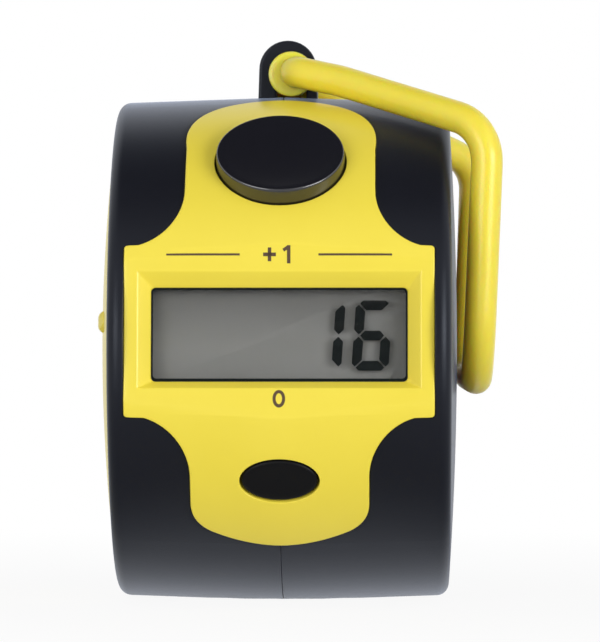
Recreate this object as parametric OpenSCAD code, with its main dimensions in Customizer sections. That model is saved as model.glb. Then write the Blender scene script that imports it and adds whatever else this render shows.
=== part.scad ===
// Pocket tally counter: a drum-shaped case with a display, two buttons and a swinging finger loop.
// The drum's axis runs left to right along X, the display looks along -Y, and +Z is up.
// The origin is the centre of the small flat that the drum stands on.

/* [Case] */
// Diameter of the drum at the seam between its halves
drum_d = 58; // [54:0.5:64]
// Width of the drum between its side rims
body_w = 37.8; // [36:0.2:44]
// Draft of each half, in degrees: the drum narrows towards the sides
draft = 2; // [0.5:0.5:3]
// Radius of the rounded edge between drum and side
edge_r = 1.35; // [0.6:0.05:1.7]
// Bulge of each side face
side_dome = 0.95; // [0.4:0.05:1.6]
// Wall of the case
wall = 1.95; // [1.7:0.05:2.2]
// Depth, front to back, of the flat under the drum
flat_d = 9; // [6:0.5:12]

/* [Face plate] */
// Upward tilt of the display
bezel_tilt = 4.4; // [0:0.2:8]
// Thickness of the plate round the drum
plate_t = 2; // [1.7:0.1:2.2]
// Height of the plate above the drum
plate_proud = 0.25; // [0.1:0.05:0.4]
// Gap between the plate and the case
plate_gap = 0.12; // [0.08:0.02:0.25]
// Half width of the display part
bezel_half_w = 17; // [16.6:0.1:17.1]
// Half height of the display part
bezel_half_h = 9.6; // [9.4:0.1:10]
// Half width of the neck above the display
upper_half_w = 10.5; // [9.8:0.05:10.5]
// Half width of the neck below the display
lower_half_w = 9.85; // [9:0.05:10.4]
// Width of the hollow corners between necks and display part
flare_w = 6.6; // [5.5:0.1:6.9]
// Height of those corners, along the drum
flare_h = 7.25; // [6:0.05:7.6]
// Angle above the display of the centre of the plate's round top end
top_end_angle = 49.9; // [48:0.1:52]
// Radius of the plate's round top end
top_end_r = 10.6; // [10.2:0.1:11]
// Reach of the lower neck, across the drum from its own middle
lower_reach = 12.95; // [12:0.05:13.6]
// Bow of the lower neck's end
lower_bow = 4.1; // [2:0.1:5]
// Reach of the tabs that hold the plate behind the case wall
lip_w = 1.2; // [0.8:0.1:1.5]
// Thickness of those tabs
lip_t = 1.1; // [0.8:0.1:1.3]

/* [Display] */
// Width of the display window
window_w = 28.1; // [26:0.1:29]
// Height of the display window
window_h = 10.3; // [9.6:0.1:10.6]
// Height of the window's centre above the middle of the display part
window_up = -0.31; // [-0.5:0.01:0.2]
// Width of the sloping frame at the window's sides
slope_side = 1.35; // [0.8:0.05:1.6]
// Width of the sloping frame above the window
slope_top = 1.95; // [1.2:0.05:2.2]
// Width of the sloping frame below the window
slope_low = 1; // [0.6:0.05:1.3]
// Depth of the sloping frame
slope_depth = 1.3; // [0.9:0.1:1.5]
// Thickness of the display part of the plate
bezel_t = 2.2; // [2:0.1:2.5]
// Thickness of each glass of the display
glass_t = 0.7; // [0.5:0.05:0.8]
// Gap between the two glasses, where the segments are
cell_gap = 0.1; // [0.06:0.02:0.16]
// Thickness of the reflector film
film_t = 0.2; // [0.1:0.05:0.3]
// Width of the rubber connector strip
zebra_w = 1.2; // [0.9:0.1:1.3]
// Height of a digit
digit_h = 7.72; // [6.8:0.02:8]
// Width of a digit
digit_w = 4.06; // [3.6:0.02:4.3]
// Distance between neighbouring digits
digit_pitch = 5.18; // [5:0.02:5.4]
// Width of a segment
segment_w = 1.08; // [0.8:0.02:1.2]
// Gap between segments
segment_gap = 0.12; // [0.08:0.02:0.2]
// Lean of the digits
digit_lean = 4; // [0:0.5:7]
// Distance from the window's right end to the last digit
digit_margin = 1.85; // [1.4:0.05:2.2]

/* [Circuit board] */
// How far the ends of the circuit board and of the display's frame lie inside the plate's slab
board_inset = 0.45; // [0.3:0.05:1]
// Thickness of the board
board_t = 1.2; // [0.8:0.1:1.6]
// Distance from the display part's back to the board
board_gap = 3.9; // [3.4:0.1:4.2]
// Diameter of the bosses that the board is screwed to
board_boss_d = 2.6; // [2.3:0.1:2.8]
// Diameter of the resin cap over the chip
blob_d = 9.8; // [8:0.2:10.4]
// Height of that cap
blob_h = 1.7; // [1.2:0.1:2]
// Diameter of the crystal's can
crystal_d = 2; // [1.6:0.1:2.2]
// Height of the small capacitors
chip_w = 0.8; // [0.6:0.1:1]
// Diameter of the board screws
board_screw_d = 1.4; // [1.2:0.1:1.5]

/* [Buttons] */
// Angle of the count button's axis above the horizontal
count_angle = 46; // [44:0.5:48]
// Width of the count button at its base
count_w = 14.4; // [13:0.1:15.4]
// Height of the count button at its base
count_h = 12.74; // [11:0.02:13]
// Height of the count button above the plate
count_rise = 1.25; // [0.9:0.05:2.2]
// Depth of the dish in the count button
count_dish = 0.5; // [0.2:0.1:0.8]
// Travel of the count button
count_travel = 1.2; // [0.6:0.1:1.3]
// Gap round the count button
count_gap = 0.13; // [0.1:0.01:0.3]
// Angle of the reset button's axis below the horizontal
reset_angle = 29.6; // [28:0.2:31]
// Width of the reset button
reset_w = 8.45; // [7.5:0.05:8.6]
// Height of the reset button
reset_h = 5.15; // [4.5:0.05:5.3]
// Depth of the reset button below the plate
reset_sink = 0.15; // [0:0.05:0.6]
// Travel of the reset button
reset_travel = 0.6; // [0.3:0.1:0.7]
// Gap round the reset button
reset_gap = 0.2; // [0.1:0.05:0.4]
// Width of the flange that keeps a button in
flange_w = 0.8; // [0.6:0.1:1]
// Side of the count switch
count_switch_w = 6; // [5:0.2:6.4]
// Side of the reset switch
reset_switch_w = 4.6; // [4:0.2:5]
// Radial clearance of the switch plungers
plunger_clear = 0.05; // [0.03:0.01:0.08]

/* [Loop] */
// Diameter of the loop's bar
bar_d = 3.55; // [3:0.05:3.8]
// Height of the loop's pivot above the drum
pivot_rise = 2.53; // [2.5:0.01:3.2]
// Place of the pivot to the right of the lug's middle
pivot_off = 0.395; // [0:0.005:0.45]
// Place of the lug to the right of the seam
lug_x = 0.45; // [0:0.05:0.8]
// Width of the lug
lug_w = 6.62; // [6.2:0.02:7.4]
// Width of the lug's foot at the drum
lug_foot_w = 6.86; // [6.6:0.02:8]
// Wall of the lug over the pin
lug_wall = 2.17; // [1.8:0.01:2.6]
// Front of the lug, from the drum's axis
lug_front = 2.5; // [2:0.1:3]
// Back of the lug, from the drum's axis
lug_back = 4.5; // [4:0.1:5]
// Radial clearance of the pin in the lug
pin_clear = 0.08; // [0.04:0.01:0.1]
// Width of the slot under the pin
lug_slot_w = 3.45; // [1.6:0.05:3.5]
// Diameter of the flanges beside the lug
loop_flange_d = 5.18; // [4.8:0.02:5.8]
// Thickness of those flanges
loop_flange_t = 1.3; // [1:0.1:1.6]
// Gap between lug and flange
loop_side_gap = 0.2; // [0.1:0.05:0.3]
// Place of the front arm's root to the right of the pin
root_right = 0.55; // [0:0.05:0.7]
// Height of the front arm's root above the pin
root_up = 0.15; // [0:0.05:0.3]

/* [Battery] */
// Diameter of the button cell
cell_d = 11.6; // [9.5:0.1:12.5]
// Thickness of the button cell
cell_t = 5.4; // [3.6:0.1:5.6]
// Place of the cell behind the drum's axis
cell_back = 13.4; // [13.4:0.1:14]
// Thickness of the sheet contacts
contact_t = 0.3; // [0.2:0.05:0.4]
// Diameter of the side cover
cover_d = 50; // [46:0.5:51]
// Bulge of the side cover at its centre
cover_dome = 1.6; // [1:0.1:2]
// Depth of the cover's seat in the left side
cover_seat = 1; // [0.8:0.05:1.1]
// Thickness of the cover
cover_t = 1.2; // [1:0.1:1.4]
// Diameter of the cover's hub
hub_d = 8; // [7:0.2:9]
// Turn that unlocks the cover
cover_turn = 45; // [40:1:50]
// Length of the cover's grip rib
rib_l = 40; // [30:1:42]
// Width of the grip rib
rib_w = 2.5; // [2:0.1:3]
// Height of the grip rib
rib_h = 0.55; // [0.3:0.05:0.8]
// Height of the grip rib above the drum's axis
rib_up = 3.1; // [0:0.1:8]
// Diameter of the case screws
case_screw_d = 2.5; // [2:0.1:3]
// Diameter of the leads
lead_d = 0.9; // [0.6:0.1:1.1]

/* [Hidden] */
$fn = 64;
slip = 0.1;
drum_r = drum_d / 2;
half_w = body_w / 2;
inner_half = half_w - wall;
slope = tan(draft);
rim_r = drum_r - slope * (half_w - edge_r);
flat_h = sqrt(drum_r * drum_r - flat_d * flat_d / 4);

plate_r = drum_r + plate_proud;
plate_in = plate_r - plate_t;
lip_r = drum_r - wall - slip;
bezel_h = sqrt(plate_r * plate_r - bezel_half_h * bezel_half_h);
bezel_back = bezel_h - bezel_t;
slab_half_w = min(bezel_half_w, inner_half - slip);
flare_angle = 26;
flare_mid = flare_angle * PI / 180 * plate_r;
flare_up = bezel_half_h + flare_h - flare_mid + 0.07;
upper_reach = 12;
cut_from = 19;
cut_to = drum_r + 12;

window_hi = window_up + window_h / 2;
window_lo = window_up - window_h / 2;
glass_half_w = slab_half_w - 1.15;
glass_lo = window_lo - 0.45;
rear_hi = window_hi + 0.3;
zebra_lo = rear_hi + 0.2;
glass_hi = zebra_lo + zebra_w + 0.05;
frame_wall = 0.5;
frame_gap = 0.05;
frame_lo = glass_lo - frame_gap - frame_wall;
frame_hi = glass_hi + frame_gap + frame_wall;
segments_h = bezel_back - glass_t;
rear_h = segments_h - cell_gap;
film_h = rear_h - glass_t;
board_front = bezel_back - board_gap;
board_back = board_front - board_t;
board_w = 2 * (slab_half_w - board_inset);
boss_x = board_w / 2 - board_boss_d / 2 - 0.4;
boss_hi = frame_hi + board_boss_d / 2 + slip;
boss_lo = frame_lo - board_boss_d / 2 - slip;
board_hi = boss_hi + board_boss_d / 2 + 0.2;
board_lo = boss_lo - board_boss_d / 2 - 0.2;
board_screw_l = 3.4;
board_head_d = 2.6;
board_head_t = 0.9;

count_top = plate_r + count_rise;
reset_top = plate_r - reset_sink;
count_flange_top = sqrt(plate_in * plate_in - pow(count_h / 2 + flange_w, 2)) - 0.25;
count_flange_low = count_flange_top - 1.2;
count_stem_end = count_flange_low - 2.6;
count_switch_top = count_stem_end - count_travel - 0.4;
count_switch_t = 3.5;
count_board_top = count_switch_top - count_switch_t;
count_board_half = 7;
count_plunger_d = 3.5;
reset_flange_top = sqrt(plate_in * plate_in - pow(reset_h / 2 + flange_w + 0.2, 2)) - 0.5;
reset_flange_low = reset_flange_top - 1;
reset_stem_end = reset_flange_low - 1.2;
reset_switch_top = reset_stem_end - reset_travel - 0.6;
reset_switch_t = 3;
reset_board_top = reset_switch_top - reset_switch_t;
reset_board_half = 6;
reset_plunger_d = 2.5;
plunger_seat = 0.9;
switch_board_t = 1;
switch_board_d = 10;
shelf_w = 3;
shelf_lap = 0.8;
shelf_t = 1;

cover_r = cover_d / 2;
seat_x = half_w - cover_seat;
cup_wall = 1.2;
cup_clear = 0.15;
cup_r = cell_d / 2 + cup_clear;
cell_out = seat_x - 0.35;
cell_in = cell_out - cell_t;
cup_floor = cell_in - contact_t;
tail_end = cup_floor - cup_wall - 1.4;
hub_clear = 0.05;
hub_ring_d = hub_d + 4;
hub_ring_in = inner_half - 1.6;
key_r = hub_d / 2 + 1.6;
key_angle = 30;
key_slot_angle = 36;
key_t = 1;
boss_d = 6.8;
case_head_d = 4.8;
case_head_t = 1.8;
case_head_out = inner_half - 1.2;
case_screw_end = 8;
case_bosses = [[128, 19], [232, 19], [282, 20.5]];

pivot_h = drum_r + pivot_rise;
pivot_x = lug_x + pivot_off;
lug_top = pivot_h + bar_d / 2 + lug_wall;
lug_depth = lug_front + lug_back;
flange_front = lug_front + loop_side_gap;
flange_back = lug_back + loop_side_gap;
elbow_r = 2.1;
arm_front = flange_front + loop_flange_t + 1.8;
arm_back = flange_back + loop_flange_t + 1.8;
flange_mid = loop_flange_t / 2;
bar_gap = 0.3;
hang_x = half_w + side_dome + bar_gap + bar_d / 2;
// Corners of the loop's bar, from the drum's axis, each with the radius of its bend
loop_route = [
    [pivot_x + root_right, -flange_front - flange_mid - 0.1, pivot_h + root_up, 0],
    [pivot_x + root_right, -arm_front, pivot_h + root_up, elbow_r],
    [pivot_x + 5.7, -arm_front - 2.6, pivot_h - 1.07, 16],
    [hang_x + 1.15, -0.65 * drum_r, 0.8555 * drum_r, 5.2],
    [hang_x, -0.62 * drum_r, -0.1128 * drum_r, 8],
    [hang_x - 0.3, 0.755 * drum_r, -0.1128 * drum_r, 6],
    [hang_x + 0.5, 0.765 * drum_r, 0.765 * drum_r, 4.5],
    [pivot_x, arm_back, pivot_h, elbow_r],
    [pivot_x, flange_back + flange_mid + 0.1, pivot_h, 0]];
bend_steps = 9;
bar_sides = 20;
lead_sides = 10;
lead_apart = 4.4;
lead_clear = 0.35;
lead_stub = 2.5;
lead_bend = 0.7;
lead_spread = 3;
lead_run = 4;
contact_w = 3;
lead_x = -tail_end + 1.6;

// Lifts a piece drawn round the drum's axis to its place above the standing flat
module lift() translate([0, 0, flat_h]) children();

// Turns a piece drawn for the drum's front up the drum by an angle
module round_to(angle) rotate([-angle, 0, 0]) children();

// Extrudes an outline in X and Z outwards, between two distances from the drum's axis
module outward(from, to)
    translate([0, -from, 0]) rotate([90, 0, 0]) linear_extrude(to - from) children();

// Places a piece on an axis that points outwards
module outward_axis() rotate([90, 0, 0]) children();

// Revolves an outline in radius and X about the drum's axis
module revolve() rotate([0, 90, 0]) rotate_extrude($fn = 128) children();

module ellipse(w, h, n = 48)
    polygon([for (i = [0 : n - 1]) [w / 2 * cos(i * 360 / n), h / 2 * sin(i * 360 / n)]]);

// Ring with the drum's draft on both sides of the seam
module drum_layer(outer, inner, half) revolve()
    polygon([[inner, 0], [inner - slope * half, half], [outer - slope * half, half], [outer, 0],
        [outer - slope * half, -half], [inner - slope * half, -half]]);

// Outline of half a shell, from the centre of its side face to the seam
function shell_outline(dome) = concat(
    [for (i = [0 : 8]) let (t = i / 8) [t * (rim_r - edge_r), half_w + dome * (1 - t * t)]],
    [for (i = [1 : 7]) let (a = i * 90 / 7) [rim_r - edge_r + edge_r * sin(a), half_w - edge_r + edge_r * cos(a)]],
    [[drum_r, 0], [drum_r - wall, 0], [drum_r - wall - slope * inner_half, inner_half], [0, inner_half]]);

// Outline of the plate as one volume through the drum's front, grown by a margin
module plate_volume(grow) {
    round_to(bezel_tilt) outward(cut_from, cut_to)
        square([2 * (bezel_half_w + grow), 2 * (bezel_half_h + grow)], center = true);
    round_to(bezel_tilt + flare_angle) outward(cut_from, cut_to) neck_outline(upper_half_w, upper_reach, 0, grow);
    round_to(bezel_tilt + top_end_angle) outward(cut_from, cut_to) circle(top_end_r + grow, $fn = 96);
    round_to(bezel_tilt - flare_angle) outward(cut_from, cut_to)
        mirror([0, 1]) neck_outline(lower_half_w, lower_reach + grow, lower_bow, grow);
}

// Right half of a neck: a hollow corner out of the display part, a straight side and a bowed end
function neck_side(neck, reach, bow, grow) = concat([[neck + flare_w - flare_w * cos(80), -flare_mid / 2]],
    [for (i = [0 : 10]) let (a = 80 * (1 - i / 10))
        [neck + flare_w - (flare_w - grow) * cos(a), flare_up - (flare_h - grow) * sin(a)]],
    [for (i = [0 : 8]) let (t = 1 - i / 9) [(neck + grow) * t, reach - bow * t * t]]);

module neck_outline(neck, reach, bow, grow) {
    right = neck_side(neck, reach, bow, grow);
    polygon(concat(right, [[0, reach]], [for (i = [len(right) - 1 : -1 : 0]) [-right[i][0], right[i][1]]]));
}

// Loop's lug with a round top, a pin hole and a slot under it
module lug() difference() {
    translate([lug_x, lug_back, 0]) outward_axis() linear_extrude(lug_depth)
        polygon(concat([[-lug_foot_w / 2, drum_r - wall / 2], [lug_foot_w / 2, drum_r - wall / 2]],
            [for (i = [0 : 24]) let (a = i * 7.5)
                [lug_w / 2 * cos(a), lug_top - lug_w / 2 + lug_w / 2 * sin(a)]]));
    translate([pivot_x, lug_back + slip, pivot_h]) outward_axis()
        cylinder(d = bar_d + 2 * pin_clear, h = lug_depth + 2 * slip);
    translate([pivot_x - lug_slot_w / 2, -lug_front - slip, drum_r + 0.15])
        cube([lug_slot_w, lug_depth + 2 * slip, pivot_h - drum_r]);
}

// Shelf on a side wall with a slot for the edge of a switch board
module board_shelf(angle, top, half) round_to(angle) difference() {
    outward(top - switch_board_t - shelf_t, top + shelf_t)
        translate([half - shelf_lap, -shelf_w / 2]) square([inner_half - half + shelf_lap + 0.4, shelf_w]);
    outward(top - switch_board_t - slip / 2, top + slip / 2)
        translate([0, -shelf_w]) square([half + slip, 2 * shelf_w]);
}

// What both shells share, drawn for the right one
module shell_half(dome) {
    difference() {
        revolve() polygon(shell_outline(dome));
        plate_volume(plate_gap);
        translate([-body_w, -drum_d, -flat_h - drum_d]) cube([2 * body_w, 2 * drum_d, drum_d]);
    }
    board_shelf(count_angle, count_board_top, count_board_half);
    board_shelf(-reset_angle, reset_board_top, reset_board_half);
}

// Places a child at each case screw, with its axis along X
module at_case_bosses()
    for (b = case_bosses) round_to(b[0]) translate([0, -b[1], 0]) rotate([0, 90, 0]) children();

module right_shell() color("#23252b") lift() {
    difference() {
        union() {
            shell_half(side_dome);
            at_case_bosses() cylinder(d = boss_d, h = inner_half + 0.4);
        }
        at_case_bosses() translate([0, 0, -1]) cylinder(d = case_screw_d + 0.1, h = case_screw_end + 3);
    }
    intersection() {
        lug();
        translate([0, -drum_d, 0]) cube(2 * drum_d);
    }
}

// Cup for the button cell, open to the left
module cell_cup() translate([0, cell_back, 0]) rotate([0, -90, 0]) translate([0, 0, cup_floor - cup_wall])
    cylinder(r = cup_r + cup_wall, h = inner_half - cup_floor + cup_wall + 0.4);

// Sector of a disc about the drum's axis, used for the cover's keys and their slots
module key_sector(turn, spread, radius, from, to) rotate([0, -90, 0]) translate([0, 0, from])
    for (half = [0, 180]) rotate([0, 0, half + turn - spread / 2])
        rotate_extrude(angle = spread) translate([hub_d / 2 - 1, 0]) square([radius - hub_d / 2 + 1, to - from]);

module left_shell() color("#23252b") lift() {
    difference() {
        union() {
            mirror([1, 0, 0]) shell_half(side_dome);
            mirror([1, 0, 0]) at_case_bosses() cylinder(d = boss_d, h = inner_half + 0.4);
            cell_cup();
            rotate([0, -90, 0]) translate([0, 0, hub_ring_in]) cylinder(d = hub_ring_d, h = inner_half - hub_ring_in + 0.4);
        }
        rotate([0, -90, 0]) translate([0, 0, seat_x]) cylinder(r = cover_r + slip, h = 9, $fn = 128);
        mirror([1, 0, 0]) at_case_bosses() {
            translate([0, 0, -1]) cylinder(d = case_screw_d + 0.4, h = half_w + 2);
            translate([0, 0, case_head_out - case_head_t]) cylinder(d = case_head_d + 0.4, h = half_w);
        }
        translate([0, cell_back, 0]) rotate([0, -90, 0]) translate([0, 0, cup_floor]) cylinder(r = cup_r, h = half_w);
        positive_strip(slip / 2);
        negative_tail(slip);
        rotate([0, -90, 0]) translate([0, 0, hub_ring_in - 1]) cylinder(d = hub_d + 2 * hub_clear, h = half_w);
        key_sector(cover_turn, key_slot_angle, key_r + slip, hub_ring_in - 1, half_w);
    }
    intersection() {
        lug();
        translate([-2 * drum_d, -drum_d, 0]) cube(2 * drum_d);
    }
}

module face_plate() color("#f2d21f") lift() difference() {
    union() {
        intersection() {
            difference() {
                drum_layer(plate_r, plate_in, half_w);
                round_to(bezel_tilt) outward(bezel_h, cut_to) square(2 * drum_d, center = true);
            }
            plate_volume(0);
        }
        round_to(bezel_tilt) outward(bezel_back, bezel_h)
            square([2 * slab_half_w, 2 * bezel_half_h], center = true);
        plate_tabs();
        round_to(bezel_tilt) board_places() outward(board_front, bezel_back + 0.3) circle(d = board_boss_d);
    }
    round_to(bezel_tilt) {
        window_slope();
        outward(bezel_back - 1, bezel_h) translate([0, window_up]) square([window_w, window_h], center = true);
        board_places() outward(board_front - 1, board_front + board_screw_l) circle(d = board_screw_d + 0.1);
    }
    round_to(count_angle) outward(cut_from, cut_to) ellipse(count_w + 2 * count_gap, count_h + 2 * count_gap);
    round_to(-reset_angle) outward(cut_from, cut_to) ellipse(reset_w + 2 * reset_gap, reset_h + 2 * reset_gap);
}

// Tabs beside the necks that reach behind the case wall and hold the plate in
module plate_tabs() for (side = [0, 1]) mirror([side, 0, 0]) {
    tab(upper_half_w, bezel_tilt + 38, 14);
    tab(lower_half_w, bezel_tilt - 47, 13);
}

module tab(neck, from, spread) round_to(from + spread) rotate([0, 90, 0]) rotate([0, 0, -90]) rotate_extrude(angle = spread)
    polygon([[lip_r - lip_t, neck - 1.6], [lip_r - lip_t, neck + lip_w], [lip_r - slope * (neck + lip_w), neck + lip_w],
        [lip_r - slope * (neck + lip_w), neck - 0.2], [plate_in + 0.2, neck - 0.2], [plate_in + 0.2, neck - 1.6]]);

// Sloping frame round the window, as the volume it cuts from the plate
module window_slope() intersection() {
    rotate([90, 0, 0]) linear_extrude(cut_to) translate([0, window_up])
        square([window_w + 2 * slope_side, window_h + 2 * max(slope_top, slope_low)], center = true);
    translate([-drum_d, 0, 0]) rotate([90, 0, 90]) linear_extrude(2 * drum_d)
        polygon([[-bezel_h + slope_depth, window_lo], [-bezel_h, window_lo - slope_low], [-cut_to, window_lo - slope_low],
            [-cut_to, window_hi + slope_top], [-bezel_h, window_hi + slope_top], [-bezel_h + slope_depth, window_hi]]);
    translate([0, 0, -drum_d]) linear_extrude(2 * drum_d)
        polygon([[-window_w / 2, -bezel_h + slope_depth], [-window_w / 2 - slope_side, -bezel_h],
            [-window_w / 2 - slope_side, -cut_to], [window_w / 2 + slope_side, -cut_to],
            [window_w / 2 + slope_side, -bezel_h], [window_w / 2, -bezel_h + slope_depth]]);
}

// Places a child at each of the four board screws
module board_places()
    for (x = [-boss_x, boss_x], z = [boss_lo, boss_hi]) translate([x, 0, z]) children();

module display_box(from, to, half, lo, hi) lift() round_to(bezel_tilt) outward(from, to)
    translate([-half, lo]) square([2 * half, hi - lo]);

module window_lens() color("#dfe8e4", 0.35)
    display_box(bezel_back, bezel_h - slope_depth, window_w / 2 - 0.03, window_lo + 0.03, window_hi - 0.03);

module lcd_front_glass() color("#cfd6cf", 0.4)
    display_box(segments_h, bezel_back, glass_half_w, glass_lo, glass_hi);

module lcd_rear_glass() color("#b9c0b4", 0.6)
    display_box(film_h, rear_h, glass_half_w, glass_lo, rear_hi);

module lcd_reflector() color("#8d9186")
    display_box(film_h - film_t, film_h, glass_half_w, glass_lo, rear_hi);

// Segment through points given for the digit's upper right quarter, turned over by two signs, and leaning
module segment(points, right, up)
    polygon([for (p = points) [right * p[0] + up * p[1] * tan(digit_lean), up * p[1]]]);

// Digit made of seven segments, listed in the usual order from the top one round to the middle one
module digit(lit) {
    w = digit_w / 2;
    h = digit_h / 2;
    s = segment_w;
    g = segment_gap;
    inside = w - s - g;
    level = [[0.74 * s - w, h], [w - 0.74 * s, h], [w - 0.31 * s - g, h - 0.31 * s], [inside, h - s],
        [-inside, h - s], [0.31 * s + g - w, h - 0.31 * s]];
    upright = [[w, h - 0.74 * s], [w - 0.31 * s, h - 0.31 * s - g], [w - s, h - s - g], [w - s, s / 2 + g],
        [w - s / 2, g], [w, s / 2 + g]];
    tip = w - s / 2 - 1.5 * g;
    middle = [[-inside, s / 2], [inside, s / 2], [tip, 0], [inside, -s / 2], [-inside, -s / 2], [-tip, 0]];
    if (lit[0]) segment(level, 1, 1);
    if (lit[1]) segment(upright, 1, 1);
    if (lit[2]) segment(upright, 1, -1);
    if (lit[3]) segment(level, 1, -1);
    if (lit[4]) segment(upright, -1, -1);
    if (lit[5]) segment(upright, -1, 1);
    if (lit[6]) segment(middle, 1, 1);
}

module lcd_digits() color("#1c2426") lift() round_to(bezel_tilt) outward(rear_h, segments_h) {
    last = window_w / 2 - digit_margin - digit_w / 2;
    translate([last, window_up]) digit([true, false, true, true, true, true, true]);
    translate([last - digit_pitch, window_up]) digit([false, true, true, false, false, false, false]);
}

module lcd_frame() color("#2d2f33") lift() round_to(bezel_tilt) difference() {
    outward(board_front, bezel_back) translate([-board_w / 2, frame_lo])
        square([board_w, frame_hi - frame_lo]);
    outward(board_front - 1, bezel_back + 1) translate([-glass_half_w - frame_gap, glass_lo - frame_gap])
        square([2 * (glass_half_w + frame_gap), glass_hi - glass_lo + 2 * frame_gap]);
}

module zebra_strip() color("#6c6f72")
    display_box(board_front, segments_h, glass_half_w - 0.6, zebra_lo, zebra_lo + zebra_w);

module circuit_board() color("#2f6b3c") lift() round_to(bezel_tilt) difference() {
    outward(board_back, board_front) translate([-board_w / 2, board_lo]) square([board_w, board_hi - board_lo]);
    board_places() outward(board_back - 1, board_front + 1) circle(d = board_screw_d + 0.2);
}

module chip_blob() color("#15161a") lift() round_to(bezel_tilt) translate([0, -board_back, 0]) outward_axis()
    rotate_extrude() polygon([for (p = [[0, 0], [1, 0], [0.94, 0.3], [0.8, 0.56], [0.57, 0.8], [0.3, 0.94], [0, 1]])
        [p[0] * blob_d / 2, -p[1] * blob_h]]);

module crystal() color("silver") lift() round_to(bezel_tilt)
    translate([board_w / 2 - 3.5 * crystal_d, -board_back + crystal_d / 2, crystal_d])
        cylinder(d = crystal_d, h = 3 * crystal_d, center = true);

module capacitors() color("#b08a52") lift() round_to(bezel_tilt)
    for (p = [[0.4, -0.45], [-0.44, -0.5], [0.73, -0.45]])
        translate([p[0] * board_w / 2 - chip_w, -board_back, p[1] * board_hi]) cube([2 * chip_w, chip_w, chip_w]);

module board_screws() color("#b9bcc0") lift() round_to(bezel_tilt) board_places() {
    outward(board_back, board_front + board_screw_l - 0.2) circle(d = board_screw_d);
    outward(board_back - board_head_t, board_back) circle(d = board_head_d);
}

module count_button() color("#141518") lift() round_to(count_angle) {
    edge = [[0, 1], [0.55, 1], [0.75, 0.993], [0.86, 0.98], [0.94, 0.96], [1, 0.925]];
    base = plate_in + 0.5;
    difference() {
        union() {
            outward(count_flange_low, base) ellipse(count_w, count_h);
            for (i = [1 : len(edge) - 1])
                outward(base + (count_top - base) * edge[i - 1][0] - 0.02, base + (count_top - base) * edge[i][0])
                    ellipse(count_w * edge[i][1], count_h * edge[i][1]);
        }
        dish_r = (count_h * count_h / 5 + count_dish * count_dish) / 2 / count_dish;
        translate([0, -count_top + count_dish - dish_r, 0]) sphere(dish_r, $fn = 96);
    }
    outward(count_flange_low, count_flange_top) ellipse(count_w + 2 * flange_w, count_h + 2 * flange_w);
    outward(count_stem_end, count_flange_low) circle(d = 5);
}

module reset_button() color("#141518") lift() round_to(-reset_angle) {
    outward(reset_flange_low, reset_top) ellipse(reset_w, reset_h);
    outward(reset_flange_low, reset_flange_top) ellipse(reset_w + 2 * flange_w, reset_h + 2 * flange_w);
    outward(reset_stem_end, reset_flange_low) circle(d = 3);
}

// Switch housing on its board, bored for its plunger
module switch_body(top, t, side, bore, travel) difference() {
    outward(top - t, top) square(side, center = true);
    outward(top - plunger_seat - travel - 0.2, top + 1) circle(d = bore);
}

module count_switch_body() color("#3a3d42") lift() round_to(count_angle)
    switch_body(count_switch_top, count_switch_t, count_switch_w, count_plunger_d + 2 * plunger_clear, count_travel);

module count_switch_plunger() color("#c9b48c") lift() round_to(count_angle)
    outward(count_switch_top - plunger_seat, count_stem_end) circle(d = count_plunger_d);

module reset_switch_body() color("#3a3d42") lift() round_to(-reset_angle)
    switch_body(reset_switch_top, reset_switch_t, reset_switch_w, reset_plunger_d + 2 * plunger_clear, reset_travel);

module reset_switch_plunger() color("#c9b48c") lift() round_to(-reset_angle)
    outward(reset_switch_top - plunger_seat, reset_stem_end) circle(d = reset_plunger_d);

module count_board() color("#2f6b3c") lift() round_to(count_angle)
    outward(count_board_top - switch_board_t, count_board_top) square([2 * count_board_half, switch_board_d], center = true);

module reset_board() color("#2f6b3c") lift() round_to(-reset_angle)
    outward(reset_board_top - switch_board_t, reset_board_top) square([2 * reset_board_half, switch_board_d], center = true);

module battery_cell() color("#c8cace") lift() translate([0, cell_back, 0]) rotate([0, -90, 0])
    translate([0, 0, cell_in]) cylinder(d = cell_d, h = cell_t);

// Strip beside the cell that touches its case, with a tail through the cup's floor
module positive_strip(grow) translate([-cell_out, cell_back + cell_d / 2 - (grow > 0 ? 1 : 0), -contact_w / 2 - grow])
    cube([cell_out - tail_end, contact_t + grow + (grow > 0 ? 1 : 0), contact_w + 2 * grow]);

module contact_positive() color("#d4b45a") lift() positive_strip(0);

module negative_tail(grow) translate([-cup_floor - grow, cell_back - 0.4 * contact_w - grow, -contact_t / 2 - grow])
    cube([cup_floor - tail_end + grow, 0.8 * contact_w + 2 * grow, contact_t + 2 * grow]);

module contact_negative() color("#d4b45a") lift() {
    translate([0, cell_back, 0]) rotate([0, -90, 0]) translate([0, 0, cup_floor]) cylinder(d = 0.6 * cell_d, h = contact_t);
    negative_tail(0);
}

function unit(v) = v / norm(v);

// Points of a route whose corners are rounded by arcs of their own radius
function rounded(route) = [for (i = [0 : len(route) - 1])
    let (p = [route[i][0], route[i][1], route[i][2]], radius = route[i][3])
    if (radius == 0) p
    else let (
        before = unit([for (k = [0 : 2]) route[i - 1][k] - p[k]]),
        after = unit([for (k = [0 : 2]) route[i + 1][k] - p[k]]),
        half = acos(before * after) / 2,
        middle = p + unit(before + after) * radius / sin(half),
        reach = radius / tan(half),
        start = p + before * reach - middle,
        finish = p + after * reach - middle,
        sweep = 180 - 2 * half)
    for (k = [0 : bend_steps]) let (a = sweep * k / bend_steps)
        middle + (start * sin(sweep - a) + finish * sin(a)) / sin(sweep)];

// Direction of a path at one of its points
function heading(path, i) = unit(path[min(i + 1, len(path) - 1)] - path[max(i - 1, 0)]);

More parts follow.
